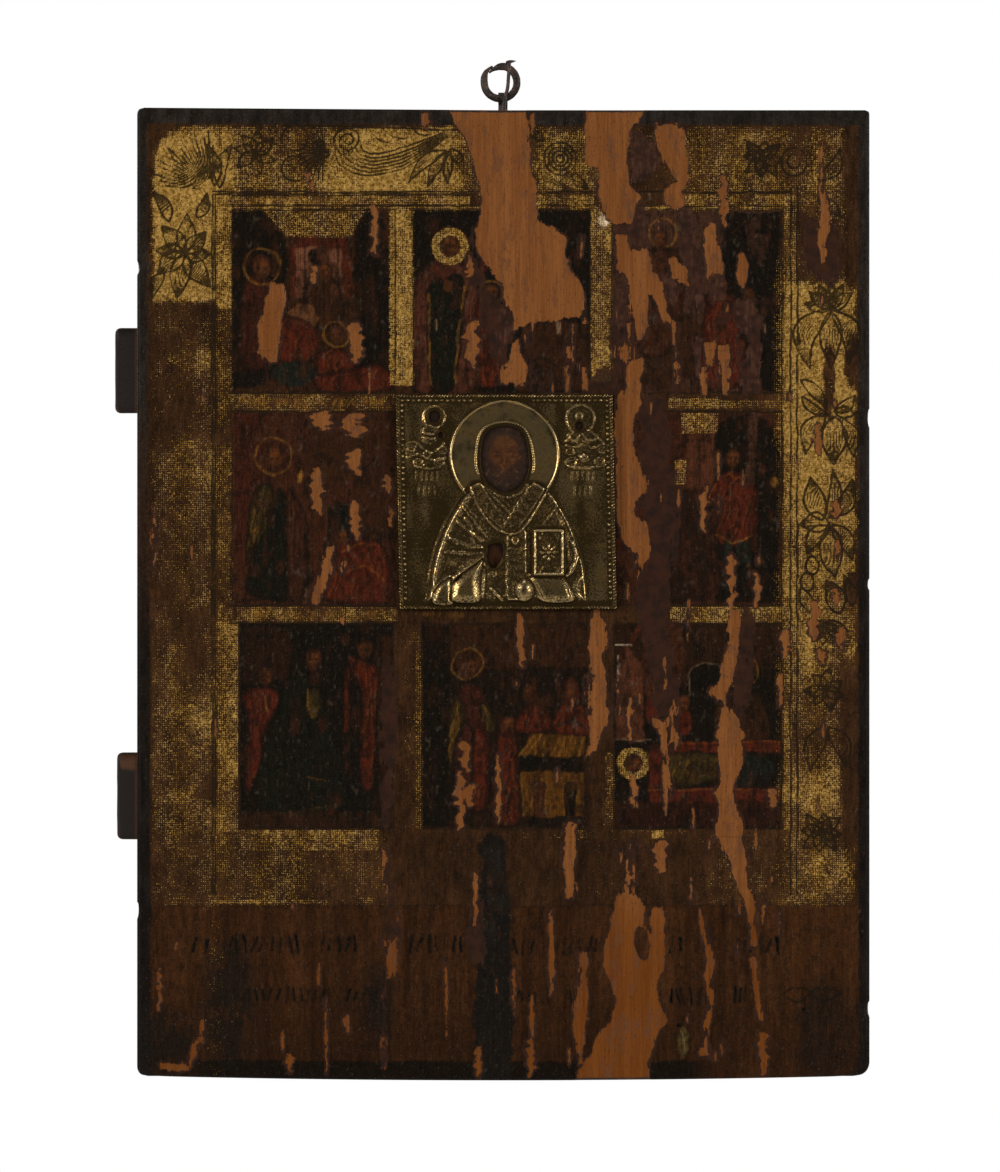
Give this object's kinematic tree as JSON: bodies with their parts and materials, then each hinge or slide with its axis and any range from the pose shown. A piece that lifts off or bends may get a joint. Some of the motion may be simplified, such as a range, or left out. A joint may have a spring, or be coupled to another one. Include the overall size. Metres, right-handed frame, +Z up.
{
  "type": "icon panel",
  "caption": "Painted wooden icon panel with a worn gilded border, back battens, an inset icon under an embossed metal cover and an iron ring to hang it by.",
  "frame": {"origin": "inner top of the hanging ring, where a wall hook carries the icon", "axes": "+Z up along the panel's height, +X to the right seen from the front, +Y from the painted face to the back"},
  "size_m": [0.413, 0.0454, 0.5582],
  "materials": {
    "painted_panel": "gesso, egg paint and gold under dark varnish, worn to bare wood in places",
    "batten_wood": "dark stained planed wood",
    "inset_paint": "dark varnished egg paint",
    "cover_metal": "embossed sheet with dark patina in the hollows",
    "forged_iron": "forged, dark brown rust"
  },
  "bodies": {
    "root": {"panel": "painted_panel", "upper_batten": "batten_wood", "lower_batten": "batten_wood", "inset_icon": "inset_paint", "metal_cover": "cover_metal", "hanging_ring": "forged_iron", "ring_eye": "forged_iron", "keeper_nail": "forged_iron"}
  },
  "joints": []
}
